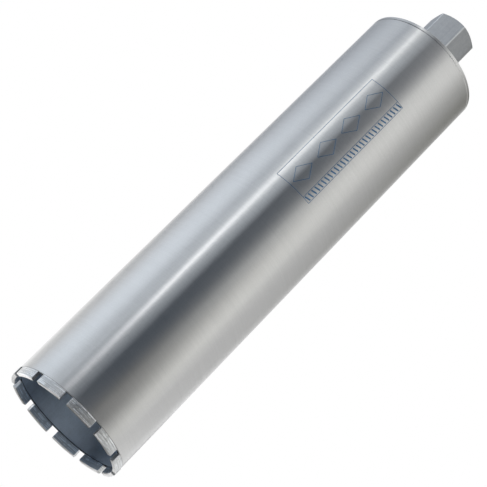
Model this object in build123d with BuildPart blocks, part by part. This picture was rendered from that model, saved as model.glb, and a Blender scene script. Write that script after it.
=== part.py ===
import math
import os

from build123d import *

# A diamond core bit that stands upright on its crown.
# Millimetres. The origin is the centre of the cutting face, and +Z runs up to the hub.

# Crown and barrel
crown_diameter = 131.0
segment_proud_outside = 0.5
tube_outer_diameter = crown_diameter - 2 * segment_proud_outside
tube_wall = 2.5
bit_body_length = 533.7

# Diamond segments
segment_count = 11
segment_height = 9.0
segment_thickness = 4.8
water_slot_width = 8.0
first_slot_angle = -70.6
cutting_edge_bevel = 0.6
foot_step_width = 0.9
foot_step_height = 0.9

# End plate
plate_rim_height = 3.8
plate_register_height = 6.0
register_clearance = 0.05
plate_rim_bevel = 0.5
seam_bevel = 0.25
register_lead_bevel = 1.0

# Hub
hex_across_flats = 48.2
hex_corner_angle = 38.9
hub_height = 59.4
hub_collar_height = 7.0
hub_collar_inset = 0.6
hub_end_land_inset = 0.6
hub_bevel_angle = 30.0
hub_spigot_diameter = 40.0
spigot_clearance = 0.05
spigot_lead_bevel = 0.8
thread_minor_diameter = 28.2
thread_mouth_bevel = 2.0

# Weld bead round the hub
weld_leg = 4.0
weld_crown = 0.5

# Values worked out from the ones above
tube_outer_radius = tube_outer_diameter / 2
tube_inner_radius = tube_outer_radius - tube_wall
plate_top = bit_body_length
seam_height = plate_top - plate_rim_height
plate_bottom = seam_height - plate_register_height
hub_top = plate_top + hub_height
hex_bottom = plate_top + hub_collar_height
flat_radius = hex_across_flats / 2
corner_radius = flat_radius / math.cos(math.radians(30))
collar_radius = flat_radius - hub_collar_inset
spigot_radius = hub_spigot_diameter / 2
thread_minor_radius = thread_minor_diameter / 2
crown_radius = crown_diameter / 2
segment_inner_radius = crown_radius - segment_thickness
slot_angle = math.degrees(2 * math.asin(water_slot_width / 2 / crown_radius))
segment_pitch = 360 / segment_count
segment_angle = segment_pitch - slot_angle

os.makedirs("parts", exist_ok=True)

# Barrel: a plain tube, bevelled where it meets the end plate so that the seam shows
with BuildPart() as tube:
    with BuildSketch(Plane.XZ):
        with BuildLine():
            Polyline(
                (tube_inner_radius, segment_height),
                (tube_outer_radius, segment_height),
                (tube_outer_radius, seam_height - seam_bevel),
                (tube_outer_radius - seam_bevel, seam_height),
                (tube_inner_radius, seam_height),
                close=True,
            )
        make_face()
    revolve(axis=Axis.Z)
tube.part.label = "tube"
export_step(tube.part, "parts/tube.step")

# End plate: a rim as wide as the tube and a register that centres it inside
with BuildPart() as end_plate:
    with BuildSketch(Plane.XY.offset(plate_bottom)):
        Circle(tube_inner_radius - register_clearance)
    extrude(amount=plate_register_height)
    with BuildSketch(Plane.XY.offset(seam_height)):
        Circle(tube_outer_radius)
    extrude(amount=plate_rim_height)
    rim_edges = end_plate.edges().filter_by(GeomType.CIRCLE).sort_by(Axis.Z)
    chamfer(rim_edges[-1], length=plate_rim_bevel)
    seam_edge = end_plate.edges().filter_by(GeomType.CIRCLE).filter_by(
        lambda edge: edge.radius > tube_outer_radius - seam_bevel / 2
    ).sort_by(Axis.Z)[0]
    chamfer(seam_edge, length=seam_bevel)
    chamfer(end_plate.edges().filter_by(GeomType.CIRCLE).sort_by(Axis.Z)[0], length=register_lead_bevel)
    with BuildSketch(Plane.XY.offset(plate_bottom)):
        Circle(spigot_radius + spigot_clearance)
    extrude(amount=plate_top - plate_bottom, mode=Mode.SUBTRACT)
end_plate.part.label = "end_plate"
export_step(end_plate.part, "parts/end_plate.step")

# Hub: hexagon bar, turned at both ends like a nut, with a collar and a spigot below
with BuildPart() as hub:
    with BuildSketch(Plane.XY.offset(hex_bottom)):
        RegularPolygon(radius=corner_radius, side_count=6, rotation=hex_corner_angle)
    extrude(amount=hub_top - hex_bottom)
    bevel_slope = math.tan(math.radians(hub_bevel_angle))
    land_radius = flat_radius - hub_end_land_inset
    turned_radius = corner_radius + hub_end_land_inset
    bevel_drop = (turned_radius - land_radius) * bevel_slope
    with BuildSketch(Plane.XZ):
        with BuildLine():
            Polyline(
                (0, hex_bottom),
                (land_radius, hex_bottom),
                (turned_radius, hex_bottom + bevel_drop),
                (turned_radius, hub_top - bevel_drop),
                (land_radius, hub_top),
                (0, hub_top),
                close=True,
            )
        make_face()
    revolve(axis=Axis.Z, mode=Mode.INTERSECT)
    with BuildSketch(Plane.XY.offset(plate_top)):
        Circle(collar_radius)
    extrude(amount=hub_collar_height)
    with BuildSketch(Plane.XY.offset(plate_bottom)):
        Circle(spigot_radius)
    extrude(amount=plate_top - plate_bottom)
    chamfer(hub.faces().sort_by(Axis.Z)[0].edges(), length=spigot_lead_bevel)
    with BuildSketch(Plane.XY.offset(plate_bottom)):
        Circle(thread_minor_radius)
    extrude(amount=hub_top - plate_bottom, mode=Mode.SUBTRACT)
    bore_edges = hub.edges().filter_by(GeomType.CIRCLE).filter_by(
        lambda edge: edge.radius < thread_minor_radius + spigot_clearance
    ).sort_by(Axis.Z)
    chamfer([bore_edges[0], bore_edges[-1]], length=thread_mouth_bevel)
hub.part.label = "hub"
export_step(hub.part, "parts/hub.step")

# Weld bead: a slightly domed fillet between the collar and the end plate
bead_mid_radius = collar_radius + weld_leg / 2 + weld_crown
bead_mid_height = plate_top + weld_leg / 2 + weld_crown
with BuildPart() as hub_weld:
    with BuildSketch(Plane.XZ):
        with BuildLine():
            Line((collar_radius, plate_top), (collar_radius + weld_leg, plate_top))
            ThreePointArc(
                (collar_radius + weld_leg, plate_top),
                (bead_mid_radius, bead_mid_height),
                (collar_radius, plate_top + weld_leg),
            )
            Line((collar_radius, plate_top + weld_leg), (collar_radius, plate_top))
        make_face()
    revolve(axis=Axis.Z)
hub_weld.part.label = "hub_weld"
export_step(hub_weld.part, "parts/hub_weld.step")

# Segments: a bevelled cutting edge, and a stepped foot that sits on the end of the tube
for number in range(segment_count):
    start_angle = first_slot_angle + slot_angle / 2 + number * segment_pitch
    start_plane = Plane(
        origin=(0, 0, 0),
        x_dir=Vector(1, 0, 0).rotate(Axis.Z, start_angle),
        z_dir=Vector(0, -1, 0).rotate(Axis.Z, start_angle),
    )
    with BuildPart() as diamond_segment:
        with BuildSketch(start_plane):
            with BuildLine():
                Polyline(
                    (segment_inner_radius + cutting_edge_bevel, 0),
                    (crown_radius - cutting_edge_bevel, 0),
                    (crown_radius, cutting_edge_bevel),
                    (crown_radius, segment_height),
                    (segment_inner_radius + foot_step_width, segment_height),
                    (segment_inner_radius, segment_height - foot_step_height),
                    (segment_inner_radius, cutting_edge_bevel),
                    close=True,
                )
            make_face()
        revolve(axis=Axis.Z, revolution_arc=segment_angle)
    diamond_segment.part.label = f"diamond_segment_{number + 1:02d}"
    export_step(diamond_segment.part, f"parts/diamond_segment_{number + 1:02d}.step")
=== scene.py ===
import bmesh
import bpy
import math
import random
from mathutils import Matrix, Vector


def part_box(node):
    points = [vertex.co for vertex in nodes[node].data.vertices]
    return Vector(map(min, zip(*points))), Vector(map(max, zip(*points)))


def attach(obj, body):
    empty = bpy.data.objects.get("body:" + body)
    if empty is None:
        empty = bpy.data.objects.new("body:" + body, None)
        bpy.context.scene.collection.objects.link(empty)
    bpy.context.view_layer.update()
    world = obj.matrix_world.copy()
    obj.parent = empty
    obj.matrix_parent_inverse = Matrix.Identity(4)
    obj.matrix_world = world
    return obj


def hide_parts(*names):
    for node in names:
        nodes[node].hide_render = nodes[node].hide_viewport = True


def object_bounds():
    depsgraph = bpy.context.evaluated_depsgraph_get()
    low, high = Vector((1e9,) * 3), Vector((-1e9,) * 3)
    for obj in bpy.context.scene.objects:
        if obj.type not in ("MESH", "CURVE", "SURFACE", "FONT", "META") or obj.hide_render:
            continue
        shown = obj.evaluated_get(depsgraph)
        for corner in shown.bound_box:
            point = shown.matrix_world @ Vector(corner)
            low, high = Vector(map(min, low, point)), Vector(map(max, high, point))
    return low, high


# A diamond core bit, standing on its crown. Metres, +Z up the axis from the cutting face to the hub.

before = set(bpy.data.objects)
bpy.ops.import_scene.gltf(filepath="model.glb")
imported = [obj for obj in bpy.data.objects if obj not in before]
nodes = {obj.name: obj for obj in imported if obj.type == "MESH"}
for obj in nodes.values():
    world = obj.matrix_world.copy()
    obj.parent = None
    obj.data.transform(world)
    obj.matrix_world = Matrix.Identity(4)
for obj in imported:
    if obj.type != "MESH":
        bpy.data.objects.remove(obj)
cadBox = [list(corner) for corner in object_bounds()]
print("frame loaded:", len(nodes), "nodes")

crownRadius = cadBox[1][0]
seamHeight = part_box("tube")[1].z
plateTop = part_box("hub_weld")[0].z
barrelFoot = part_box("tube")[0].z
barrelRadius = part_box("tube")[1].x

quarterTurn = math.radians(90)
mergeDistance = 0.000001


# Node helpers

def newMaterial(name):
    material = bpy.data.materials.new(name)
    material.use_nodes = True
    tree = material.node_tree
    tree.nodes.clear()
    return material, tree


def finishMaterial(material, shader):
    tree = material.node_tree
    output = tree.nodes.new("ShaderNodeOutputMaterial")
    tree.links.new(shader, output.inputs["Surface"])
    return material


def plug(tree, socket, value):
    if isinstance(value, bpy.types.NodeSocket):
        tree.links.new(value, socket)
    elif socket.type == "RGBA":
        socket.default_value = (*value[:3], 1.0)
    else:
        socket.default_value = value


def addNode(tree, kind, settings=None, **values):
    node = tree.nodes.new(kind)
    for key, value in (settings or {}).items():
        setattr(node, key, value)
    for key, value in values.items():
        plug(tree, node.inputs[key.replace("_", " ")], value)
    return node


def mathNode(tree, operation, *values):
    node = tree.nodes.new("ShaderNodeMath")
    node.operation = operation
    for index, value in enumerate(values):
        plug(tree, node.inputs[index], value)
    return node.outputs[0]


def multiply(tree, first, second):
    return mathNode(tree, "MULTIPLY", first, second)


def multiplyAdd(tree, value, amount, base):
    return mathNode(tree, "MULTIPLY_ADD", value, amount, base)


def varyAround(tree, middle, *layers):
    # each layer is a noise from 0 to 1 and how far it moves the value in all
    value = middle - sum(amount for _, amount in layers) / 2
    for noise, amount in layers:
        value = multiplyAdd(tree, noise, amount, value)
    return value


def mixColour(tree, factor, first, second):
    node = tree.nodes.new("ShaderNodeMix")
    node.data_type = "RGBA"
    for index, value in ((0, factor), (6, first), (7, second)):
        plug(tree, node.inputs[index], value)
    return node.outputs[2]


def smoothStep(tree, value, low, high):
    node = tree.nodes.new("ShaderNodeMapRange")
    node.interpolation_type = "SMOOTHSTEP"
    plug(tree, node.inputs["Value"], value)
    node.inputs["From Min"].default_value = low
    node.inputs["From Max"].default_value = high
    return node.outputs["Result"]


def bandMask(tree, value, centre, halfWidth, feather):
    away = mathNode(tree, "ABSOLUTE", mathNode(tree, "SUBTRACT", value, centre))
    return smoothStep(tree, away, halfWidth + feather, halfWidth)


def objectCoordinates(tree):
    return tree.nodes.new("ShaderNodeTexCoord").outputs["Object"]


def splitCoordinates(tree, coordinates):
    node = tree.nodes.new("ShaderNodeSeparateXYZ")
    tree.links.new(coordinates, node.inputs[0])
    return node.outputs[0], node.outputs[1], node.outputs[2]


def radiusFromAxis(tree, x, y):
    return mathNode(tree, "SQRT", mathNode(tree, "ADD", multiply(tree, x, x), multiply(tree, y, y)))


def plainNoise(tree, coordinates, scale, detail=3.0, roughness=0.6):
    noise = addNode(tree, "ShaderNodeTexNoise", Vector=coordinates, Scale=scale, Detail=detail)
    noise.inputs["Roughness"].default_value = roughness
    return noise.outputs[0]


def stretchedNoise(tree, coordinates, stretch, detail=3.0):
    mapping = addNode(tree, "ShaderNodeMapping", Vector=coordinates)
    mapping.inputs["Scale"].default_value = stretch
    return plainNoise(tree, mapping.outputs[0], 1.0, detail)


def ringNoise(tree, radius, drift, spacing, detail=4.0, driftAmount=0.02, roughness=0.65):
    # rings round the axis, which change slowly along the drift
    vector = addNode(tree, "ShaderNodeCombineXYZ", X=radius, Y=multiply(tree, drift, driftAmount))
    return plainNoise(tree, vector.outputs[0], 1.0 / spacing, detail, roughness)


def scaleColour(tree, colour, factor):
    node = addNode(tree, "ShaderNodeVectorMath", {"operation": "SCALE"}, Scale=factor)
    if isinstance(colour, bpy.types.NodeSocket):
        tree.links.new(colour, node.inputs[0])
    else:
        node.inputs[0].default_value = colour
    return node.outputs[0]


def bumpNormal(tree, height, strength, distance):
    return addNode(tree, "ShaderNodeBump", Strength=strength, Distance=distance, Height=height).outputs[0]


def metalShader(tree, colour, roughness, normal):
    shader = addNode(tree, "ShaderNodeBsdfPrincipled", Base_Color=colour, Roughness=roughness, Normal=normal)
    shader.inputs["Metallic"].default_value = 1.0
    return shader


def roundAxisShader(tree, colour, roughness, normal, anisotropy, rise=5.0):
    # gloss spreads across the turning marks: up the axis on a wall, outwards on a flat end (rise 0)
    x, y, _ = splitCoordinates(tree, objectCoordinates(tree))
    flat = addNode(tree, "ShaderNodeCombineXYZ", X=x, Y=y)
    outward = addNode(tree, "ShaderNodeVectorMath", {"operation": "NORMALIZE"}, Vector=flat.outputs[0])
    across = addNode(tree, "ShaderNodeVectorMath", {"operation": "ADD"}, Vector=outward.outputs[0])
    across.inputs[1].default_value = (0.0, 0.0, rise)
    shader = metalShader(tree, colour, roughness, normal)
    shader.inputs["Anisotropic"].default_value = anisotropy
    tree.links.new(across.outputs[0], shader.inputs["Tangent"])
    return shader.outputs[0]


def mixShaders(tree, factor, first, second):
    node = addNode(tree, "ShaderNodeMixShader", Fac=factor)
    tree.links.new(first, node.inputs[1])
    tree.links.new(second, node.inputs[2])
    return node.outputs[0]


# Mesh helpers

def dress(node, material):
    node.data.materials.clear()
    node.data.materials.append(material)


def plainObject(shape, name):
    mesh = bpy.data.meshes.new(name)
    shape.to_mesh(mesh)
    shape.free()
    piece = bpy.data.objects.new(name, mesh)
    bpy.context.scene.collection.objects.link(piece)
    return piece


def shapeToPiece(shape, name, materials, replaced=None, smoothAngle=35.0):
    piece = plainObject(shape, name)
    piece.data.shade_smooth()
    piece.data.set_sharp_from_angle(angle=math.radians(smoothAngle))
    for material in materials:
        piece.data.materials.append(material)
    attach(piece, "root")
    if replaced:
        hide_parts(replaced)


def mergedCopy(node, flatAngle=0.5):
    shape = bmesh.new()
    shape.from_mesh(node.data)
    bmesh.ops.remove_doubles(shape, verts=shape.verts, dist=mergeDistance)
    angle = math.radians(flatAngle)
    bmesh.ops.dissolve_limit(shape, angle_limit=angle, verts=shape.verts, edges=shape.edges)
    return shape


def spinOutline(shape, outline, angle, steps, closed=True, **settings):
    verts = [shape.verts.new((radius, 0.0, height)) for radius, height in outline]
    pairs = zip(verts, verts[1:] + verts[:1]) if closed else zip(verts, verts[1:])
    edges = [shape.edges.new(pair) for pair in pairs]
    return bmesh.ops.spin(shape, geom=verts + edges, cent=(0, 0, 0), axis=(0, 0, 1), angle=angle,
                          steps=steps, **settings)


def fillHoles(shape):
    rims = [edge for edge in shape.edges if edge.is_boundary]
    bmesh.ops.holes_fill(shape, edges=rims, sides=0)


def faceOutward(shape):
    bmesh.ops.recalc_face_normals(shape, faces=shape.faces)


# Barrel: steel ground round the axis outside, dull drawn scale inside

barrelLook = {
    "colour": (0.468, 0.468, 0.468),
    "roughness": 0.28,
    "anisotropy": 0.95,
    "skin": 0.0012,  # how deep the ground steel counts as outside
    "fineLines": (24.0, 24.0, 1100.0), "fineTone": 0.12,
    "wideLines": (11.0, 11.0, 480.0), "wideTone": 0.08,
    "grainScale": 900.0, "grainTone": 0.16,
    "clouds": (9.0, 9.0, 22.0), "cloudRoughness": 0.03,
    "grindLines": 0.022, "grindDepth": 0.0002,
    "seamColour": (0.10, 0.11, 0.12), "seamRoughness": 0.25,
    "seamWidth": 0.00042, "seamFeather": 0.0003,
    "seamBreaks": (55.0, 55.0, 4.0), "breakRange": (0.38, 0.58), "breakDepth": 0.4,
    "openSide": (0.008, -0.012), "seamHighlightSide": (0.002, 0.012),
    # painted highlight along the seam on the near right, lighter than the steel
    "seamHighlightColour": (0.62, 0.62, 0.61), "seamHighlightWidth": 0.00022, "seamHighlightFeather": 0.0001,
    "weldLineHeight": 0.00055, "weldLineFeather": 0.0004, "weldLineDark": 0.55,
    "tackMarks": ((13.2, 0.5292), (15.6, 0.5299), (18.0, 0.5296), (20.6, 0.5297), (23.2, 0.5289)),
    "tackSize": 0.0006, "tackCore": 0.4, "tackDark": 0.8, "tackDepth": 1.5,
    "insideColour": (0.42, 0.50, 0.60),
    "insideRoughness": 0.55, "blotchRoughness": 0.1,
    "insideAnisotropy": 0.8,
    "drawnLines": (420.0, 420.0, 5.0), "drawnTone": 0.2,
    "blotchScale": 140.0, "blotchTone": 0.35, "blotchHeight": 0.5,
    "speckleScale": 1500.0, "speckleTone": 0.35, "speckleHeight": 0.6,
    "insideRelief": 0.25, "insideDepth": 0.0004,
    # painted shade: a dark band on the inside wall just above the segments' feet
    "ledgeShadeColour": (0.012, 0.013, 0.016), "ledgeShadeTop": 0.0100, "ledgeShadeFade": 0.0004, "ledgeShadeDark": 0.85,
}


def tackMask(tree, coordinates, look):
    mask = None
    for angle, height in look["tackMarks"]:
        turn = math.radians(angle)
        spot = addNode(tree, "ShaderNodeVectorMath", {"operation": "DISTANCE"}, Vector=coordinates)
        spot.inputs[1].default_value = (barrelRadius * math.sin(turn), -barrelRadius * math.cos(turn), height)
        near = smoothStep(tree, spot.outputs["Value"], look["tackSize"], look["tackSize"] * look["tackCore"])
        mask = near if mask is None else mathNode(tree, "MAXIMUM", mask, near)
    return mask


def seamMask(tree, coordinates, x, z, feather, look):
    # a hairline that breaks off where the two parts meet tightly, and is open on the left
    line = bandMask(tree, z, seamHeight, look["seamWidth"], feather)
    breaks = smoothStep(tree, stretchedNoise(tree, coordinates, look["seamBreaks"]), *look["breakRange"])
    strength = multiplyAdd(tree, breaks, look["breakDepth"], 1.0 - look["breakDepth"])
    return multiply(tree, line, multiply(tree, strength, smoothStep(tree, x, *look["openSide"])))


def paintSeamHighlight(tree, steel, x, z, look):
    # painted highlight: on the near right, where the two parts meet tightly, a lighter colour along the seam
    # lifts the shade in its groove
    line = bandMask(tree, z, seamHeight, look["seamHighlightWidth"], look["seamHighlightFeather"])
    seamHighlight = multiply(tree, line, smoothStep(tree, x, *look["seamHighlightSide"]))
    return mixColour(tree, seamHighlight, steel, look["seamHighlightColour"])


def makeInsideScale(tree, coordinates, z, look):
    # mill scale with drawn lines along the wall, and painted shade above the segments' feet: a dark band
    # where their inner ledge shades the wall
    drawn = stretchedNoise(tree, coordinates, look["drawnLines"])
    blotches = plainNoise(tree, coordinates, look["blotchScale"], detail=6.0, roughness=0.7)
    speckle = plainNoise(tree, coordinates, look["speckleScale"])
    tone = varyAround(tree, 1.0, (drawn, look["drawnTone"]), (speckle, look["speckleTone"]),
                      (blotches, look["blotchTone"]))
    scale = scaleColour(tree, look["insideColour"], tone)
    # painted shade under the segments' inner ledge
    ledgeShade = smoothStep(tree, z, look["ledgeShadeTop"], look["ledgeShadeTop"] - look["ledgeShadeFade"])
    scale = mixColour(tree, multiply(tree, ledgeShade, look["ledgeShadeDark"]), scale, look["ledgeShadeColour"])
    height = mathNode(tree, "ADD", multiply(tree, speckle, look["speckleHeight"]),
                      multiply(tree, blotches, look["blotchHeight"]))
    normal = bumpNormal(tree, height, look["insideRelief"], look["insideDepth"])
    rough = varyAround(tree, look["insideRoughness"], (blotches, look["blotchRoughness"]))
    return roundAxisShader(tree, scale, rough, normal, look["insideAnisotropy"])


def makeBarrelSteel(name, look):
    material, tree = newMaterial(name)
    coordinates = objectCoordinates(tree)
    x, y, z = splitCoordinates(tree, coordinates)
    fineLines = stretchedNoise(tree, coordinates, look["fineLines"], detail=2.0)
    wideLines = stretchedNoise(tree, coordinates, look["wideLines"], detail=2.0)
    grain = plainNoise(tree, coordinates, look["grainScale"], detail=2.0)
    clouds = stretchedNoise(tree, coordinates, look["clouds"], detail=4.0)
    shade = varyAround(tree, 1.0, (fineLines, look["fineTone"]))
    shade = multiply(tree, shade, varyAround(tree, 1.0, (wideLines, look["wideTone"])))
    shade = multiply(tree, shade, varyAround(tree, 1.0, (grain, look["grainTone"])))
    # the steel, with a painted highlight along the seam on the near right
    steel = paintSeamHighlight(tree, scaleColour(tree, look["colour"], shade), x, z, look)
    seam = seamMask(tree, coordinates, x, z, look["seamFeather"], look)
    weldLine = bandMask(tree, z, barrelFoot, look["weldLineHeight"], look["weldLineFeather"])
    marks = tackMask(tree, coordinates, look)
    dark = mathNode(tree, "MAXIMUM", seam, multiply(tree, weldLine, look["weldLineDark"]))
    dark = mathNode(tree, "MAXIMUM", dark, multiply(tree, marks, look["tackDark"]))
    steel = mixColour(tree, dark, steel, look["seamColour"])
    rough = multiplyAdd(tree, clouds, look["cloudRoughness"], look["roughness"])
    rough = multiplyAdd(tree, dark, look["seamRoughness"], rough)
    height = multiplyAdd(tree, marks, -look["tackDepth"], wideLines)
    normal = bumpNormal(tree, height, look["grindLines"], look["grindDepth"])
    outside = roundAxisShader(tree, steel, rough, normal, look["anisotropy"])
    inside = makeInsideScale(tree, coordinates, z, look)
    isOutside = mathNode(tree, "GREATER_THAN", radiusFromAxis(tree, x, y), barrelRadius - look["skin"])
    return finishMaterial(material, mixShaders(tree, isOutside, inside, outside))


dress(nodes["tube"], makeBarrelSteel("barrelSteel", barrelLook))
print("barrel dressed")


# End plate: faced on the lathe, with a heat tint round the hub's weld and a rim ground with the barrel

plateLook = {
    "faceColour": (0.47, 0.47, 0.465),
    "roughness": 0.34,
    "anisotropy": 0.7,
    "ringSpacing": 0.00045, "ringTone": 0.22,
    "wideRingSpacing": 0.00315, "wideRingTone": 0.14, "wideRingHeight": 0.8,
    "mottleScale": 300.0, "mottleTone": 0.12,
    "relief": 0.12, "reliefDepth": 0.0003,
    "wanderScale": 90.0, "wander": 0.003,
    "strawTint": (0.30, 0.22, 0.14), "strawEdge": (0.0375, 0.0295), "strawAmount": 0.42,
    "blueTint": (0.16, 0.20, 0.30), "blueEdge": (0.0315, 0.0285), "blueAmount": 0.55,
    "rimWidth": 0.00045, "rimTop": 0.00002,
    "rimLines": (12.0, 12.0, 2600.0), "rimLineTone": 0.16,
    "rimGrainScale": 2100.0, "rimGrainTone": 0.14,
    "rimSeamFeather": 0.0002, "rimSeamDark": 0.8,
}


def makePlateRim(tree, coordinates, x, z, look, barrel):
    lines = stretchedNoise(tree, coordinates, look["rimLines"], detail=4.0)
    grain = plainNoise(tree, coordinates, look["rimGrainScale"], detail=2.0)
    shade = varyAround(tree, 1.0, (grain, look["rimGrainTone"]), (lines, look["rimLineTone"]))
    # the rim carries the same painted highlight along the seam
    rim = paintSeamHighlight(tree, scaleColour(tree, barrel["colour"], shade), x, z, barrel)
    seam = seamMask(tree, coordinates, x, z, look["rimSeamFeather"], barrel)
    marks = tackMask(tree, coordinates, barrel)
    dark = mathNode(tree, "MAXIMUM", multiply(tree, seam, look["rimSeamDark"]),
                    multiply(tree, marks, barrel["tackDark"]))
    rim = mixColour(tree, dark, rim, barrel["seamColour"])
    normal = bumpNormal(tree, lines, barrel["grindLines"], barrel["grindDepth"])
    return roundAxisShader(tree, rim, barrel["roughness"], normal, barrel["anisotropy"])


def makePlateSteel(name, look, barrel):
    material, tree = newMaterial(name)
    coordinates = objectCoordinates(tree)
    x, y, z = splitCoordinates(tree, coordinates)
    radius = radiusFromAxis(tree, x, y)
    rings = ringNoise(tree, radius, x, look["ringSpacing"])
    wideRings = ringNoise(tree, radius, y, look["wideRingSpacing"])
    mottle = plainNoise(tree, coordinates, look["mottleScale"], detail=5.0)
    tone = varyAround(tree, 1.0, (mottle, look["mottleTone"]), (wideRings, look["wideRingTone"]),
                      (rings, look["ringTone"]))
    face = scaleColour(tree, look["faceColour"], tone)
    wander = multiplyAdd(tree, plainNoise(tree, coordinates, look["wanderScale"]), look["wander"], radius)
    straw = smoothStep(tree, wander, *look["strawEdge"])
    blue = smoothStep(tree, wander, *look["blueEdge"])
    face = mixColour(tree, multiply(tree, straw, look["strawAmount"]), face, look["strawTint"])
    face = mixColour(tree, multiply(tree, blue, look["blueAmount"]), face, look["blueTint"])
    height = mathNode(tree, "ADD", rings, multiply(tree, wideRings, look["wideRingHeight"]))
    normal = bumpNormal(tree, height, look["relief"], look["reliefDepth"])
    top = roundAxisShader(tree, face, look["roughness"], normal, look["anisotropy"], rise=0.0)
    side = makePlateRim(tree, coordinates, x, z, look, barrel)
    isWide = mathNode(tree, "GREATER_THAN", radius, barrelRadius - look["rimWidth"])
    isBelowTop = mathNode(tree, "LESS_THAN", z, plateTop - look["rimTop"])
    isRim = multiply(tree, isWide, isBelowTop)
    return finishMaterial(material, mixShaders(tree, isRim, top, side))


dress(nodes["end_plate"], makePlateSteel("plateSteel", plateLook, barrelLook))
print("end plate dressed")


# Hub: the CAD hexagon with eased corners and a cut internal thread

hubLook = {
    "pitch": 0.0254 / 7,
    "minorRadius": 0.0141,
    "majorRadius": 0.015875,
    # the thread's outline: a radius, and where it lies along the pitch
    "threadForm": (("minorRadius", 0.0), ("minorRadius", 0.25), ("majorRadius", 0.5625),
                   ("majorRadius", 0.6875), ("minorRadius", 1.0)),
    "stepsPerTurn": 60,
    "overrun": 0.004,
    "threadMerge": 0.00002,
    "cornerBevel": 0.0009,
    "cornerLeast": 0.03,  # only edges longer than this and further out than the next one are corners
    "cornerOutside": 0.025,
    "bevelSegments": 3,
    "smoothAngle": 28.0,
    "colour": (0.32, 0.33, 0.345), "roughness": 0.40,
    # the eased corners are lighter: partly wear, partly a painted highlight along the edges
    "wearAndSheenColour": (0.54, 0.55, 0.56), "wornRoughness": 0.55,
    "threadColour": (0.26, 0.26, 0.265), "threadEdge": (0.0004, 0.0001),
    "drawnLines": (1100.0, 1100.0, 14.0), "ringSpacing": 0.0004, "endSlope": 0.3, "lineTone": 0.28,
    "mottleScale": 260.0, "mottleTone": 0.34, "mottleHeight": 0.5, "mottleRoughness": 0.14,
    "grainScale": 2400.0, "grainTone": 0.28, "grainHeight": 0.4,
    "relief": 0.14, "reliefDepth": 0.0003,
}


def makeTap(look, low, high):
    pitch, steps = look["pitch"], look["stepsPerTurn"]
    bottom, top = low - look["overrun"], high + look["overrun"]
    start = bottom - pitch
    turns = math.ceil((top - bottom) / pitch) + 2
    outline = [(look[radius], start + along * pitch) for radius, along in look["threadForm"]]
    shape = bmesh.new()
    spinOutline(shape, outline, math.tau * turns, steps * turns, closed=False,
                dvec=(0, 0, pitch / steps), use_merge=False)
    bmesh.ops.remove_doubles(shape, verts=shape.verts, dist=look["threadMerge"])
    for height, normal in ((bottom, (0, 0, -1)), (top, (0, 0, 1))):
        geometry = shape.verts[:] + shape.edges[:] + shape.faces[:]
        bmesh.ops.bisect_plane(shape, geom=geometry, plane_co=(0, 0, height), plane_no=normal,
                               clear_outer=True, clear_inner=False)
    fillHoles(shape)
    faceOutward(shape)
    return shape


def easeCorners(shape, look):
    corners = []
    for edge in shape.edges:
        first, second = edge.verts[0].co, edge.verts[1].co
        if abs(first.z - second.z) > look["cornerLeast"] and first.xy.length > look["cornerOutside"]:
            corners.append(edge)
    eased = bmesh.ops.bevel(shape, geom=corners, offset=look["cornerBevel"], offset_type="OFFSET",
                            segments=look["bevelSegments"], profile=0.5, affect="EDGES", material=-1)
    for face in eased["faces"]:
        face.material_index = 1
    return len(corners)


def makeHubShape(look, materials):
    low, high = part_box("hub")[0].z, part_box("hub")[1].z
    shape = mergedCopy(nodes["hub"])
    cornerCount = easeCorners(shape, look)
    blank = plainObject(shape, "hubBlank")
    tap = plainObject(makeTap(look, low, high), "spindleTap")
    for material in materials:
        blank.data.materials.append(material)
    cut = blank.modifiers.new("cutThread", "BOOLEAN")
    cut.operation = "DIFFERENCE"
    cut.solver = "EXACT"
    cut.object = tap
    evaluated = blank.evaluated_get(bpy.context.evaluated_depsgraph_get())
    threaded = bmesh.new()
    threaded.from_mesh(evaluated.to_mesh())
    evaluated.to_mesh_clear()
    for helper in (blank, tap):
        bpy.data.objects.remove(helper)
    print("hub thread cut:", len(threaded.faces), "faces, corners eased:", cornerCount)
    return threaded


def makeHubSteel(name, look, colour, roughness):
    material, tree = newMaterial(name)
    coordinates = objectCoordinates(tree)
    x, y, z = splitCoordinates(tree, coordinates)
    radius = radiusFromAxis(tree, x, y)
    drawn = stretchedNoise(tree, coordinates, look["drawnLines"])
    mottle = plainNoise(tree, coordinates, look["mottleScale"], detail=5.0, roughness=0.65)
    grain = plainNoise(tree, coordinates, look["grainScale"], detail=2.0)
    rings = ringNoise(tree, radius, z, look["ringSpacing"])
    # drawn lines on the flats, turned rings wherever the surface looks up or down
    trueNormal = tree.nodes.new("ShaderNodeNewGeometry").outputs["True Normal"]
    _, _, upward = splitCoordinates(tree, trueNormal)
    isEnd = mathNode(tree, "GREATER_THAN", mathNode(tree, "ABSOLUTE", upward), look["endSlope"])
    lines = addNode(tree, "ShaderNodeMix", Factor=isEnd, A=drawn, B=rings).outputs[0]
    tone = varyAround(tree, 1.0, (grain, look["grainTone"]), (mottle, look["mottleTone"]),
                      (lines, look["lineTone"]))
    outerEdge, innerEdge = look["threadEdge"]
    inBore = smoothStep(tree, radius, look["majorRadius"] + outerEdge, look["majorRadius"] + innerEdge)
    steel = scaleColour(tree, mixColour(tree, inBore, colour, look["threadColour"]), tone)
    height = multiplyAdd(tree, grain, look["grainHeight"], lines)
    height = multiplyAdd(tree, mottle, look["mottleHeight"], height)
    normal = bumpNormal(tree, height, look["relief"], look["reliefDepth"])
    rough = varyAround(tree, roughness, (mottle, look["mottleRoughness"]))
    return finishMaterial(material, metalShader(tree, steel, rough, normal).outputs[0])


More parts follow.
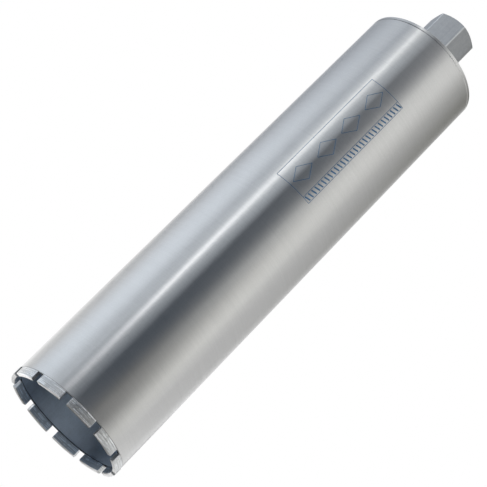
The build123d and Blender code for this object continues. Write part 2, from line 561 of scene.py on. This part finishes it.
# the corner material is lighter than the hub: wear and a painted highlight on its edges
hubSteels = [makeHubSteel("hubSteel", hubLook, hubLook["colour"], hubLook["roughness"]),
             makeHubSteel("wearAndSheenCorner", hubLook, hubLook["wearAndSheenColour"], hubLook["wornRoughness"])]
hubShape = makeHubShape(hubLook, hubSteels)
shapeToPiece(hubShape, "threadedHub", hubSteels, "hub", hubLook["smoothAngle"])
print("hub made")


# Weld bead round the hub's collar, laid in overlapping ripples

beadLook = {
    "innerRadius": 0.0235,
    "leg": 0.0039,
    "fullness": 1.36,
    "root": 0.0002,
    "rows": 11,
    "steps": 504,
    "smoothAngle": 60.0,
    "ripples": 63, "rippleDepth": 0.00024, "rippleSharpness": 1.6, "rippleBow": 0.55,
    "driftWaves": 7, "drift": 0.12,
    "swells": 5, "swellDepth": 0.00008, "swellTurn": 1.3,
    "sink": 0.7,
    "plainEdge": 0.0003,
    "colour": (0.33, 0.31, 0.29),
    "tint": (0.24, 0.23, 0.25), "tintRange": (0.42, 0.62),
    "roughness": 0.34,
    "cloudScale": 130.0, "cloudRoughness": 0.2,
    "grainScale": 1600.0, "grainTone": 0.4,
    "relief": 0.2, "reliefDepth": 0.0002,
}


def beadOutline(look, base):
    inner, leg, root = look["innerRadius"], look["leg"], look["root"]
    outline = []
    for row in range(look["rows"]):
        turn = quarterTurn * row / (look["rows"] - 1)
        out, up = math.cos(turn) ** look["fullness"], math.sin(turn) ** look["fullness"]
        outline.append((inner + leg * out, base + leg * up))
    outline += [(inner - root, base + leg - root), (inner - root, base - root)]
    outline.append((inner + leg - root, base - root))
    return outline


def makeBead(look, base):
    inner, leg = look["innerRadius"], look["leg"]
    shape = bmesh.new()
    spinOutline(shape, beadOutline(look, base), math.tau, look["steps"], use_merge=True)
    bmesh.ops.remove_doubles(shape, verts=shape.verts, dist=mergeDistance)
    faceOutward(shape)
    for vert in shape.verts:
        radius, height = vert.co.xy.length, vert.co.z - base
        if radius > inner + look["plainEdge"] and height > look["plainEdge"]:
            angle = math.atan2(vert.co.y, vert.co.x)
            bow = math.sin(min(1.0, height / leg) * math.pi) * look["rippleBow"]
            drift = look["drift"] * math.sin(angle * look["driftWaves"])
            phase = (angle / math.tau * look["ripples"] + bow + drift) % 1.0
            swell = look["swellDepth"] * (1 + math.sin(angle * look["swells"] + look["swellTurn"]))
            dip = look["rippleDepth"] * (1.0 - phase) ** look["rippleSharpness"] + swell
            vert.co.xy *= (radius - dip) / radius
            vert.co.z -= dip * look["sink"]
    return shape


def makeWeldSteel(name, look):
    material, tree = newMaterial(name)
    coordinates = objectCoordinates(tree)
    cloud = plainNoise(tree, coordinates, look["cloudScale"], detail=4.0, roughness=0.65)
    grain = plainNoise(tree, coordinates, look["grainScale"])
    steel = mixColour(tree, smoothStep(tree, cloud, *look["tintRange"]), look["colour"], look["tint"])
    steel = scaleColour(tree, steel, varyAround(tree, 1.0, (grain, look["grainTone"])))
    normal = bumpNormal(tree, grain, look["relief"], look["reliefDepth"])
    rough = varyAround(tree, look["roughness"], (cloud, look["cloudRoughness"]))
    return finishMaterial(material, metalShader(tree, steel, rough, normal).outputs[0])


weldSteel = makeWeldSteel("weldSteel", beadLook)
beadShape = makeBead(beadLook, plateTop)
shapeToPiece(beadShape, "hubWeldBead", [weldSteel], "hub_weld", beadLook["smoothAngle"])
print("weld bead laid")


# Diamond segments: sintered blocks with grinding grooves, standing grit and a fine weld at the barrel

segmentLook = {
    "thickness": 0.0048,
    "height": 0.009,
    "edgeBevel": 0.0006,
    "footStep": 0.0009,
    "skin": 0.00014,
    "steps": 56,
    "endEase": 0.0002,
    "smoothAngle": 30.0,
    "seed": 40,
    "grooveWidth": (0.0004, 0.0009),
    "grooveDepth": (0.00008, 0.00022),
    "grooveGap": (0.0002, 0.0007),
    "grooveShoulder": 0.35, "grooveStart": 0.0003, "grooveStop": 0.0009,
    "gritCount": 130,
    "gritSize": (0.00014, 0.00029),
    "gritEnds": 0.03, "gritInset": 0.0009, "gritFoot": 0.0011, "gritTop": 0.0068,
    "faceGritRise": 0.55, "sideGritSink": 0.6,
    # the foot weld's outline is given in shares of its size
    "weldSize": 0.00036, "weldBack": 0.5, "weldLow": 0.4, "weldStart": 0.2, "weldTall": 1.3, "weldTop": 1.1,
    "weldRows": 6, "weldSteps": 150, "weldSpan": 0.98, "weldRipples": 420, "weldRippleDepth": 0.00005,
    "colour": (0.485, 0.495, 0.505),
    "innerColour": (0.48, 0.55, 0.63), "innerEdge": (0.0008, 0.0005),
    "middleTone": 0.955, "roughness": 0.36, "anisotropy": 0.8,
    "scratches": (24.0, 24.0, 2200.0), "scratchTone": 0.4, "scratchHeight": 0.4,
    "broadScratches": (30.0, 30.0, 820.0), "streakRange": (0.45, 0.62), "streakTone": 1.1,
    "patchScale": 170.0, "patchRange": (0.35, 0.55),
    "grainScale": 2300.0, "grainHeight": 0.3,
    "mottleScale": 700.0, "mottleTone": 0.35, "mottleRoughness": 0.16,
    "scoredTone": -0.16,
    "relief": 0.3, "reliefDepth": 0.0004,
    "groundColour": (0.955, 0.96, 0.965),
    "groundRoughness": 0.323, "groundAnisotropy": 0.864, "groundSlope": -0.6,
    "groundRings": 0.0004, "groundRingTone": 0.22,
    "groundMottleScale": 800.0, "groundMottleTone": 0.18, "groundMottleRoughness": 0.04,
    "groundRelief": 0.12, "groundDepth": 0.0003,
    "gritColour": (0.62, 0.60, 0.50), "gritDark": 0.6, "gritTintScale": 1400.0,
    "gritRoughness": 0.12, "gritRefraction": 2.2,
    # wear of each segment: how scored its side is, and how bright its cutting face is, partly from grinding
    # and partly a painted reflection
    "scoring": (0.6, 0.25, 0.5, 0.6, 0.6, 0.6, 0.6, 0.5, 0.15, 0.6, 1.0),
    "grindingAndReflection": (0.82, 0.84, 1.06, 1.05, 0.86, 0.40, 0.50, 0.82, 1.08, 0.92, 0.36),
}


def segmentOutline(look, chance):
    skin, bevel, top, step = look["skin"], look["edgeBevel"], look["height"], look["footStep"]
    outer = crownRadius - skin
    inner = crownRadius - look["thickness"] + skin
    outline = [(inner + bevel, skin), (outer - bevel, skin), (outer, bevel + skin)]
    height = bevel + look["grooveStart"]
    while height < top - look["grooveStop"]:
        width, depth = chance.uniform(*look["grooveWidth"]), chance.uniform(*look["grooveDepth"])
        shoulder = width * look["grooveShoulder"]
        outline += [(outer, height), (outer - depth, height + shoulder)]
        outline += [(outer - depth, height + width - shoulder), (outer, height + width)]
        height += width + chance.uniform(*look["grooveGap"])
    outline += [(outer, top), (inner + step, top), (inner, top - step), (inner, bevel + skin)]
    return outline


def segmentSpan(node):
    angles = [math.atan2(vert.co.y, vert.co.x) for vert in node.data.vertices]
    middle = math.atan2(sum(math.sin(angle) for angle in angles), sum(math.cos(angle) for angle in angles))
    reach = max(abs((angle - middle + math.pi) % math.tau - math.pi) for angle in angles)
    return middle - reach, 2 * reach


def turnAll(shape, angle):
    bmesh.ops.rotate(shape, cent=(0, 0, 0), matrix=Matrix.Rotation(angle, 3, "Z"), verts=shape.verts)


def easeEnds(shape, look):
    middleRadius, middleHeight = crownRadius - look["thickness"] / 2, look["height"] / 2
    for vert in {vert for edge in shape.edges if edge.is_boundary for vert in edge.verts}:
        radius = vert.co.xy.length
        vert.co.xy *= (radius + math.copysign(look["endEase"], middleRadius - radius)) / radius
        vert.co.z += math.copysign(look["endEase"], middleHeight - vert.co.z)
    fillHoles(shape)


def addGrit(shape, look, start, span, chance):
    inner, outer, skin = crownRadius - look["thickness"], crownRadius, look["skin"]
    inset, ends = look["gritInset"], look["gritEnds"]
    for number in range(look["gritCount"]):
        size = chance.uniform(*look["gritSize"])
        angle = start + span * chance.uniform(ends, 1.0 - ends)
        # of five grains two lie in the cutting face, two in the outer side and one in the inner side
        if number % 5 < 2:
            radius, height = chance.uniform(inner + inset, outer - inset), skin + size * look["faceGritRise"]
        else:
            height = chance.uniform(look["gritFoot"], look["gritTop"])
            sunk = skin + size * look["sideGritSink"]
            radius = outer - sunk if number % 5 < 4 else inner + sunk
        centre = Vector((math.cos(angle) * radius, math.sin(angle) * radius, height))
        axis = Vector((chance.random(), chance.random(), 1.0)).normalized()
        place = Matrix.Translation(centre) @ Matrix.Rotation(chance.uniform(0, math.tau), 4, axis)
        crystal = bmesh.ops.create_icosphere(shape, subdivisions=1, radius=size, matrix=place)
        for face in {face for vert in crystal["verts"] for face in vert.link_faces}:
            face.material_index = 1


def footWeldOutline(look):
    size = look["weldSize"]
    back = barrelRadius - size * look["weldBack"]
    outline = [(back, barrelFoot - size * look["weldLow"])]
    for row in range(look["weldRows"]):
        turn = quarterTurn * row / (look["weldRows"] - 1)
        height = barrelFoot - size * look["weldStart"] + size * look["weldTall"] * math.sin(turn)
        outline.append((barrelRadius + size * math.cos(turn), height))
    outline.append((back, barrelFoot + size * look["weldTop"]))
    return outline


def addFootWeld(shape, look, start, span):
    bead = bmesh.new()
    spinOutline(bead, footWeldOutline(look), span * look["weldSpan"], look["weldSteps"], use_merge=False)
    fillHoles(bead)
    for vert in bead.verts:
        radius = vert.co.xy.length
        if radius > barrelRadius:
            ripple = 0.5 + 0.5 * math.sin(math.atan2(vert.co.y, vert.co.x) * look["weldRipples"])
            vert.co.xy *= (radius - look["weldRippleDepth"] * ripple) / radius
    turnAll(bead, start + span * (1.0 - look["weldSpan"]) / 2)
    faceOutward(bead)
    for face in bead.faces:
        face.material_index = 2
    mesh = bpy.data.meshes.new("footWeld")
    bead.to_mesh(mesh)
    bead.free()
    shape.from_mesh(mesh)
    bpy.data.meshes.remove(mesh)


def makeSegment(look, node, number):
    chance = random.Random(look["seed"] + number)
    start, span = segmentSpan(node)
    shape = bmesh.new()
    spinOutline(shape, segmentOutline(look, chance), span, look["steps"], use_merge=False)
    turnAll(shape, start)
    easeEnds(shape, look)
    faceOutward(shape)
    for face in shape.faces:
        if face.normal.z < look["groundSlope"]:
            face.material_index = 3
    addGrit(shape, look, start, span, chance)
    addFootWeld(shape, look, start, span)
    for wear in ("scoring", "grindingAndReflection"):
        layer = shape.faces.layers.float.new(wear)
        for face in shape.faces:
            face[layer] = look[wear][number]
    return shape


def wearOf(tree, wear):
    return addNode(tree, "ShaderNodeAttribute", {"attribute_name": wear}).outputs["Fac"]


def makeSinteredMetal(name, look):
    material, tree = newMaterial(name)
    coordinates = objectCoordinates(tree)
    x, y, _ = splitCoordinates(tree, coordinates)
    scratches = stretchedNoise(tree, coordinates, look["scratches"])
    broad = stretchedNoise(tree, coordinates, look["broadScratches"], detail=2.0)
    patches = plainNoise(tree, coordinates, look["patchScale"], detail=2.0)
    grains = addNode(tree, "ShaderNodeTexVoronoi", Vector=coordinates, Scale=look["grainScale"])
    mottle = plainNoise(tree, coordinates, look["mottleScale"], detail=4.0, roughness=0.7)
    outerEdge, innerEdge = [crownRadius - look["thickness"] + inset for inset in look["innerEdge"]]
    innerSide = smoothStep(tree, radiusFromAxis(tree, x, y), outerEdge, innerEdge)
    streaks = multiply(tree, smoothStep(tree, broad, *look["streakRange"]),
                       smoothStep(tree, patches, *look["patchRange"]))
    streaks = multiply(tree, streaks, wearOf(tree, "scoring"))
    tone = varyAround(tree, look["middleTone"], (mottle, look["mottleTone"]),
                      (scratches, look["scratchTone"]))
    tone = multiplyAdd(tree, streaks, look["streakTone"], tone)
    tone = multiply(tree, tone, varyAround(tree, 1.0, (wearOf(tree, "scoring"), look["scoredTone"])))
    metal = scaleColour(tree, mixColour(tree, innerSide, look["colour"], look["innerColour"]), tone)
    height = mathNode(tree, "ADD", broad, multiply(tree, grains.outputs["Distance"], look["grainHeight"]))
    height = multiplyAdd(tree, scratches, look["scratchHeight"], height)
    normal = bumpNormal(tree, height, look["relief"], look["reliefDepth"])
    rough = varyAround(tree, look["roughness"], (mottle, look["mottleRoughness"]))
    return finishMaterial(material, roundAxisShader(tree, metal, rough, normal, look["anisotropy"]))


def makeGroundFace(name, look):
    material, tree = newMaterial(name)
    coordinates = objectCoordinates(tree)
    x, y, z = splitCoordinates(tree, coordinates)
    rings = ringNoise(tree, radiusFromAxis(tree, x, y), z, look["groundRings"], detail=2.0)
    mottle = plainNoise(tree, coordinates, look["groundMottleScale"], detail=4.0, roughness=0.7)
    tone = varyAround(tree, 1.0, (mottle, look["groundMottleTone"]), (rings, look["groundRingTone"]))
    # per-segment brightness of the cutting face: partly its grinding, partly painted reflection
    metal = scaleColour(tree, look["groundColour"], multiply(tree, tone, wearOf(tree, "grindingAndReflection")))
    height = mathNode(tree, "ADD", rings, mottle)
    normal = bumpNormal(tree, height, look["groundRelief"], look["groundDepth"])
    rough = varyAround(tree, look["groundRoughness"], (mottle, look["groundMottleRoughness"]))
    shader = roundAxisShader(tree, metal, rough, normal, look["groundAnisotropy"], rise=0.0)
    return finishMaterial(material, shader)


def makeGrit(name, look):
    material, tree = newMaterial(name)
    tint = plainNoise(tree, objectCoordinates(tree), look["gritTintScale"], detail=2.0)
    dark = [channel * look["gritDark"] for channel in look["gritColour"]]
    colour = mixColour(tree, tint, dark, look["gritColour"])
    shader = addNode(tree, "ShaderNodeBsdfPrincipled", Base_Color=colour)
    shader.inputs["Roughness"].default_value = look["gritRoughness"]
    shader.inputs["IOR"].default_value = look["gritRefraction"]
    return finishMaterial(material, shader.outputs[0])


segmentMaterials = [makeSinteredMetal("sinteredMetal", segmentLook), makeGrit("diamondGrit", segmentLook),
                    weldSteel, makeGroundFace("groundCuttingFace", segmentLook)]
segmentNodes = sorted(name for name in nodes if name.startswith("diamond_segment"))
for number, nodeName in enumerate(segmentNodes):
    shape = makeSegment(segmentLook, nodes[nodeName], number)
    shapeToPiece(shape, "cuttingSegment" + nodeName[-2:], segmentMaterials, nodeName,
                 segmentLook["smoothAngle"])
print("segments made:", len(segmentNodes))


# Printed panel on the barrel: a thin frame with a plain lozenge row and a hatched band

printLook = {
    "left": -22.0, "right": 15.0, "bandLeft": 8.0,  # degrees round the barrel
    "bottom": 0.3035, "top": 0.4495,
    "line": 0.0005,
    "film": 0.00002,
    "facetLength": 0.0012,
    "lozenges": 4, "lozengeWide": 0.017, "lozengeTall": 0.028,
    "hatches": 30, "hatchLine": 0.0016, "hatchLean": 0.0021, "hatchInset": 0.0009,
    "ink": (0.045, 0.15, 0.30), "inkRoughness": 0.42,
    "wearScale": 900.0, "wearTone": 0.5, "relief": 0.1, "reliefDepth": 0.0001,
}


def addStrip(shape, look, first, second, width):
    run = Vector(second) - Vector(first)
    middle = (Vector(first) + Vector(second)) / 2
    turn = Matrix.Rotation(math.atan2(run.y, run.x), 4, "Z")
    size = Matrix.Diagonal((run.length / 2, width / 2, 1.0, 1.0))
    place = Matrix.Translation((middle.x, middle.y, 0.0)) @ turn @ size
    facets = max(2, int(run.length / look["facetLength"]))
    bmesh.ops.create_grid(shape, x_segments=facets, y_segments=1, size=1.0, matrix=place)


def makePrint(look):
    shape = bmesh.new()
    left, right, band = [math.radians(look[key]) * barrelRadius for key in ("left", "right", "bandLeft")]
    low, high, line = look["bottom"], look["top"], look["line"]
    rules = [((left, height), (right, height)) for height in (low, high)]
    rules += [((across, low), (across, high)) for across in (left, right, band)]
    pitch = (high - low) / look["lozenges"]
    wide, tall = look["lozengeWide"] / 2, look["lozengeTall"] / 2
    for number in range(look["lozenges"]):
        middle = Vector(((left + band) / 2, low + pitch * (number + 0.5)))
        tips = [middle + Vector(tip) for tip in ((wide, 0), (0, tall), (-wide, 0), (0, -tall))]
        rules += zip(tips, tips[1:] + tips[:1])
    for first, second in rules:
        addStrip(shape, look, first, second, line)
    step, inset = (high - low) / look["hatches"], look["hatchInset"]
    for number in range(look["hatches"]):
        foot = low + step * number + look["hatchLine"]
        head = foot + look["hatchLean"]
        addStrip(shape, look, (band + inset, foot), (right - inset, head), look["hatchLine"])
    for vert in shape.verts:
        angle = vert.co.x / barrelRadius
        radius = barrelRadius + 2 * look["film"]
        vert.co = Vector((radius * math.sin(angle), -radius * math.cos(angle), vert.co.y))
    bmesh.ops.solidify(shape, geom=shape.faces, thickness=look["film"])
    faceOutward(shape)
    return shape


def makeInk(name, look):
    material, tree = newMaterial(name)
    wear = plainNoise(tree, objectCoordinates(tree), look["wearScale"], detail=4.0, roughness=0.7)
    colour = scaleColour(tree, look["ink"], varyAround(tree, 1.0, (wear, look["wearTone"])))
    normal = bumpNormal(tree, wear, look["relief"], look["reliefDepth"])
    shader = addNode(tree, "ShaderNodeBsdfPrincipled", Base_Color=colour, Normal=normal)
    shader.inputs["Roughness"].default_value = look["inkRoughness"]
    return finishMaterial(material, shader.outputs[0])


shapeToPiece(makePrint(printLook), "printedPanel", [makeInk("blueInk", printLook)])
print("panel printed")


# Floor: pale, seen from above only, so that the view up at the crown stays open

floorLook = {"colour": (0.88, 0.88, 0.88), "width": 12.0}


def makeStageMesh(name, material, width, tall):
    shape = bmesh.new()
    bmesh.ops.create_grid(shape, x_segments=1, y_segments=1, size=0.5)
    bmesh.ops.scale(shape, vec=(width, tall, 1.0), verts=shape.verts)
    panel = plainObject(shape, name)
    panel.data.materials.append(material)
    return panel


def makePaleFloor(name, look):
    material, tree = newMaterial(name)
    paths = tree.nodes.new("ShaderNodeLightPath")
    geometry = tree.nodes.new("ShaderNodeNewGeometry")
    fromAbove = mathNode(tree, "SUBTRACT", 1.0, geometry.outputs["Backfacing"])
    shown = multiply(tree, paths.outputs["Is Camera Ray"], fromAbove)
    clear = tree.nodes.new("ShaderNodeBsdfTransparent")
    pale = addNode(tree, "ShaderNodeBsdfDiffuse", Color=look["colour"])
    return finishMaterial(material, mixShaders(tree, shown, clear.outputs[0], pale.outputs[0]))


makeStageMesh("floor", makePaleFloor("paleFloor", floorLook), floorLook["width"], floorLook["width"])
print("floor laid")


# World: white behind the bit and in its reflections, even light for everything else

worldLook = {"background": (1.0, 1.0, 1.0), "light": (0.92, 0.92, 0.92), "strength": 1.0}


def makeWorld(name, look):
    world = bpy.data.worlds.new(name)
    world.use_nodes = True
    tree = world.node_tree
    tree.nodes.clear()
    output = tree.nodes.new("ShaderNodeOutputWorld")
    paths = tree.nodes.new("ShaderNodeLightPath")
    backdrop = addNode(tree, "ShaderNodeBackground", Color=look["background"], Strength=look["strength"])
    light = addNode(tree, "ShaderNodeBackground", Color=look["light"], Strength=look["strength"])
    white = mathNode(tree, "MAXIMUM", paths.outputs["Is Camera Ray"], paths.outputs["Is Glossy Ray"])
    white = mathNode(tree, "MAXIMUM", white, paths.outputs["Is Transmission Ray"])
    tree.links.new(mixShaders(tree, white, light.outputs[0], backdrop.outputs[0]), output.inputs["Surface"])
    return world


bpy.context.scene.world = makeWorld("studioWorld", worldLook)


# Studio cards round the bit: softboxes, and black flags that put the dark bands on the barrel

cardLook = {"lean": 0.0, "featherX": 0.80, "featherY": 0.40, "colour": (1.00, 1.00, 1.00)}
cards = [
    {"name": "backSoftbox", "azimuth": 180.0, "distance": 1.90, "height": 0.32, "width": 5.30, "tall": 1.20,
     "strength": 1.44, "featherX": 0.10, "featherY": 1.00, "colour": (0.99, 1.00, 1.00)},
    {"name": "leftSoftbox", "azimuth": -103.0, "distance": 1.50, "height": 1.12, "width": 2.80, "tall": 2.10,
     "lean": -40.5, "strength": 1.60, "featherX": 0.30, "featherY": 0.85, "colour": (0.93, 1.00, 1.08)},
    {"name": "stripLight", "azimuth": -41.0, "distance": 1.15, "height": 0.80, "width": 0.43, "tall": 0.25,
     "lean": 9.0, "strength": 4.60, "featherX": 0.97, "featherY": 0.25, "colour": (0.98, 1.00, 0.99)},
    {"name": "crestLight", "azimuth": -47.0, "distance": 1.12, "height": 1.36, "width": 0.06, "tall": 0.60,
     "strength": 4.20, "featherX": 0.60, "featherY": 0.50, "colour": (0.98, 1.00, 0.99)},
    {"name": "nearGlow", "azimuth": -35.5, "distance": 1.28, "height": 0.82, "width": 1.32, "tall": 0.57,
     "lean": 12.0, "strength": 1.78, "featherX": 0.87, "featherY": 0.37, "colour": (0.93, 1.00, 1.07)},
    {"name": "nearFlag", "azimuth": 2.0, "distance": 1.30, "height": 0.29, "width": 2.18, "tall": 3.90,
     "lean": 58.0, "strength": 0.04, "featherX": 0.41, "featherY": 0.29, "colour": (0.40, 1.00, 1.86)},
    {"name": "rightSoftbox", "azimuth": 46.0, "distance": 1.30, "height": 0.86, "width": 3.20, "tall": 0.70,
     "lean": -34.0, "strength": 2.27, "featherX": 0.65, "featherY": 0.70, "colour": (1.00, 1.00, 0.96)},
    {"name": "rightFlag", "azimuth": 113.5, "distance": 1.10, "height": 1.65, "width": 3.40, "tall": 2.10,
     "lean": -37.5, "strength": 0.06, "featherX": 0.90, "featherY": 0.90, "colour": (0.97, 1.00, 0.32)},
    {"name": "leftFlag", "azimuth": -114.0, "distance": 1.33, "height": 2.11, "width": 3.05, "tall": 2.92,
     "lean": 25.5, "strength": 0.54, "featherX": 0.18, "featherY": 0.60, "colour": (0.92, 1.00, 1.13)},
    {"name": "lowRightFlag", "azimuth": 47.0, "distance": 1.58, "height": 0.22, "width": 2.12, "tall": 1.50,
     "lean": -14.5, "strength": 0.05, "featherX": 0.20, "featherY": 0.25, "colour": (0.98, 1.00, 1.06)},
    {"name": "sparkLight", "azimuth": -38.5, "distance": 0.71, "height": 0.33, "width": 0.19, "tall": 0.16,
     "lean": 12.0, "strength": 3.36, "featherX": 0.95, "featherY": 0.95, "colour": (0.98, 1.00, 1.09)},
    {"name": "lowShade", "azimuth": 25.0, "distance": 0.30, "height": 0.090, "width": 0.26, "tall": 0.19,
     "strength": 0.02},
    {"name": "lowFillRight", "azimuth": 98.0, "distance": 0.30, "height": 0.025, "width": 0.46, "tall": 0.07,
     "strength": 2.10, "colour": (1.00, 1.00, 0.98)},
    {"name": "lowFillLeft", "azimuth": -92.0, "distance": 0.30, "height": 0.025, "width": 0.36, "tall": 0.07,
     "strength": 1.60, "colour": (0.90, 1.00, 1.10)},
    {"name": "coolVeil", "azimuth": -60.0, "distance": 2.40, "height": 0.900, "width": 2.20, "tall": 3.20,
     "strength": 1.00, "featherX": 0.50, "featherY": 0.30, "colour": (0.93, 1.00, 1.08)},
    {"name": "edgeShade", "azimuth": 156.0, "distance": 0.34, "height": 0.110, "width": 0.22, "tall": 0.15,
     "strength": 0.62, "featherY": 0.50},
    {"name": "glint", "azimuth": -35.0, "distance": 0.256, "height": 0.215, "width": 0.014, "tall": 0.07,
     "strength": 5.50, "featherX": 0.60, "featherY": 0.60},
]

# Walls of small panels under the crown, which light its faces and the inside of the barrel. Strengths run
# from the top row down and from left to right; the base lies flat, and its rows run from the back.
lightWalls = [
    {"name": "backWall", "azimuth": 180.0, "distance": 0.12,
     "columns": (-0.20, -0.07, -0.02, 0.03, 0.08, 0.20), "rows": (-0.008, -0.04, -0.075, -0.13, -0.30),
     "strengths": ((0.80, 0.95, 0.25, 0.60, 0.65), (0.70, 0.00, 0.00, 1.30, 1.05),
                   (0.30, 0.00, 0.00, 0.60, 1.05), (0.00, 0.00, 0.20, 0.20, 0.60))},
    {"name": "baseWall", "azimuth": 0.0, "level": -0.325,
     "columns": (-0.325, 0.0, 0.325), "rows": (0.325, 0.0, -0.325),
     "strengths": ((0.10, 1.10), (0.80, 1.00))},
]
sideLook = {"distance": 0.30, "columns": (-0.1255, 0.1255)}
# walls round the crown by azimuth, three panels tall or one
crownSides = {0: (0.00, 0.70, 1.15), 45: (0.55, 0.50, 0.35), 90: (0.00,), 135: (1.00,),
              225: (1.40,), 270: (0.00,), 315: (0.40, 0.45, 0.50)}
sideRows = {3: (-0.025, -0.075, -0.15, -0.325), 1: (-0.025, -0.325)}
for azimuth, strengths in crownSides.items():
    lightWalls.append({**sideLook, "name": f"crownSide{azimuth}", "azimuth": azimuth,
                       "rows": sideRows[len(strengths)],
                       "strengths": [(strength,) for strength in strengths]})
panelLook = {**cardLook, "featherX": 0.01, "featherY": 0.01}


def makeCard(card, shift=0.0, tilt=90.0):
    material, tree = newMaterial(card["name"])
    x, y, _ = splitCoordinates(tree, objectCoordinates(tree))
    across = mathNode(tree, "ABSOLUTE", mathNode(tree, "DIVIDE", x, card["width"] / 2))
    along = mathNode(tree, "ABSOLUTE", mathNode(tree, "DIVIDE", y, card["tall"] / 2))
    inner = multiply(tree, smoothStep(tree, across, 1.0, 1.0 - card["featherX"]),
                     smoothStep(tree, along, 1.0, 1.0 - card["featherY"]))
    glow = addNode(tree, "ShaderNodeEmission", Color=card["colour"], Strength=card["strength"])
    clear = tree.nodes.new("ShaderNodeBsdfTransparent")
    finishMaterial(material, mixShaders(tree, inner, clear.outputs[0], glow.outputs[0]))
    panel = makeStageMesh(card["name"], material, card["width"], card["tall"])
    around = Matrix.Rotation(math.radians(card["azimuth"]), 4, "Z")
    place = around @ Vector((shift, -card["distance"], card["height"]))
    upright = around @ Matrix.Rotation(math.radians(tilt), 4, "X")
    lean = Matrix.Rotation(math.radians(card["lean"]), 4, "Z")
    panel.matrix_world = Matrix.Translation(place) @ upright @ lean
    panel.visible_camera = False
    panel.visible_diffuse = False
    panel.visible_shadow = False


def makeWall(wall):
    for row, strengths in enumerate(wall["strengths"]):
        high, low = wall["rows"][row:row + 2]
        middle = (high + low) / 2
        for column, strength in enumerate(strengths):
            left, right = wall["columns"][column:column + 2]
            panel = {**panelLook, "name": f'{wall["name"]}{row}{column}', "azimuth": wall["azimuth"],
                     "width": right - left, "tall": high - low, "strength": strength}
            if "level" in wall:
                makeCard({**panel, "distance": -middle, "height": wall["level"]}, (left + right) / 2, 0.0)
            else:
                makeCard({**panel, "distance": wall["distance"], "height": middle}, (left + right) / 2)


for card in cards:
    makeCard({**cardLook, **card})
for wall in lightWalls:
    makeWall(wall)
print("studio built")


# Camera at the photograph's angle: below the crown, rolled so that the axis runs up to the right

cameraView = {
    "target": (-0.0002, 0.0, 0.2536), "distance": 1.552,
    "elevation": -22.79, "roll": -44.8,
    "lens": 118.0, "sensor": 36.0, "nearest": 0.01,
}
cameraData = bpy.data.cameras.new("camera")
cameraData.lens = cameraView["lens"]
cameraData.sensor_width = cameraView["sensor"]
cameraData.clip_start = cameraView["nearest"]
camera = bpy.data.objects.new("camera", cameraData)
bpy.context.scene.collection.objects.link(camera)
elevation = math.radians(cameraView["elevation"])
back = Vector((0.0, -math.cos(elevation), math.sin(elevation)))
camera.matrix_world = (
    Matrix.Translation(Vector(cameraView["target"]) + back * cameraView["distance"])
    @ (-back).to_track_quat("-Z", "Y").to_matrix().to_4x4()
    @ Matrix.Rotation(math.radians(-cameraView["roll"]), 4, "Z")
)
bpy.context.scene.camera = camera
bpy.context.scene.view_settings.view_transform = "Standard"
print("camera set")
